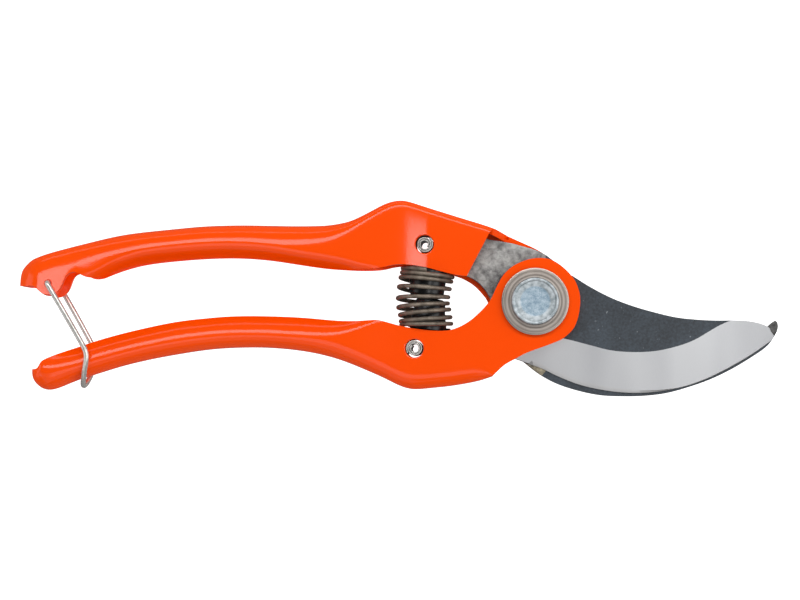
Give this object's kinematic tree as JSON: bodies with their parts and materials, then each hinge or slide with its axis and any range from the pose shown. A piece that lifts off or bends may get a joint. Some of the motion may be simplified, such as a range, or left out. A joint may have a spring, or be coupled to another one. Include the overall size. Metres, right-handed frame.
{
  "type": "pruning shears",
  "caption": "Bypass pruning shears with pressed-steel handles, a curved blade and hook on a bolted pivot, a coil spring between the handles and a wire latch at their tails.",
  "frame": {"origin": "on the pivot's axis, at the bolt's lower end face, which is the part's lowest point as it lies on its side", "axes": "+X towards the blade's tip, +Y towards the upper handle, +Z along the pivot towards the bolt's head"},
  "size_m": [0.2311, 0.0596, 0.0209],
  "materials": {
    "orange_coat": "smooth, glossy powder coat",
    "blade_coat": "thin satin coat; the bevel is bare ground steel",
    "bare_steel": "mottled, unpolished; a dark satin coat from the pivot to the tip",
    "zinc_plate": "bright, slightly blue",
    "turned_steel": "turned, with concentric marks",
    "spring_steel": "smooth drawn wire and rolled strip",
    "black_rubber": "smooth moulded",
    "bright_plate": "bright plated wire"
  },
  "bodies": {
    "lower_half": {"lower_handle": "orange_coat", "cutting_blade": "blade_coat", "pivot_bolt": "zinc_plate", "front_washer": "turned_steel", "rear_washer": "turned_steel", "pivot_nut": "zinc_plate", "lower_spring_pin": "spring_steel", "lower_buffer": "black_rubber", "return_spring": "spring_steel"},
    "upper_half": {"upper_handle": "orange_coat", "counter_blade": "bare_steel", "upper_spring_pin": "spring_steel", "upper_buffer": "black_rubber"},
    "latch": {"latch_bail": "bright_plate"}
  },
  "joints": [
    {"name": "handle_pivot", "type": "hinge", "parent": "lower_half", "child": "upper_half", "pos_m": [0, 0, 0.0116], "axis": [0, 0, -1], "range_deg": [0, 35], "deforming": ["return_spring"]},
    {"name": "latch_swing", "type": "hinge", "parent": "upper_half", "child": "latch", "pos_m": [-0.1482, 0.0061, 0.0116], "axis": [0, 0, -1], "range_deg": [0, 150]}
  ]
}
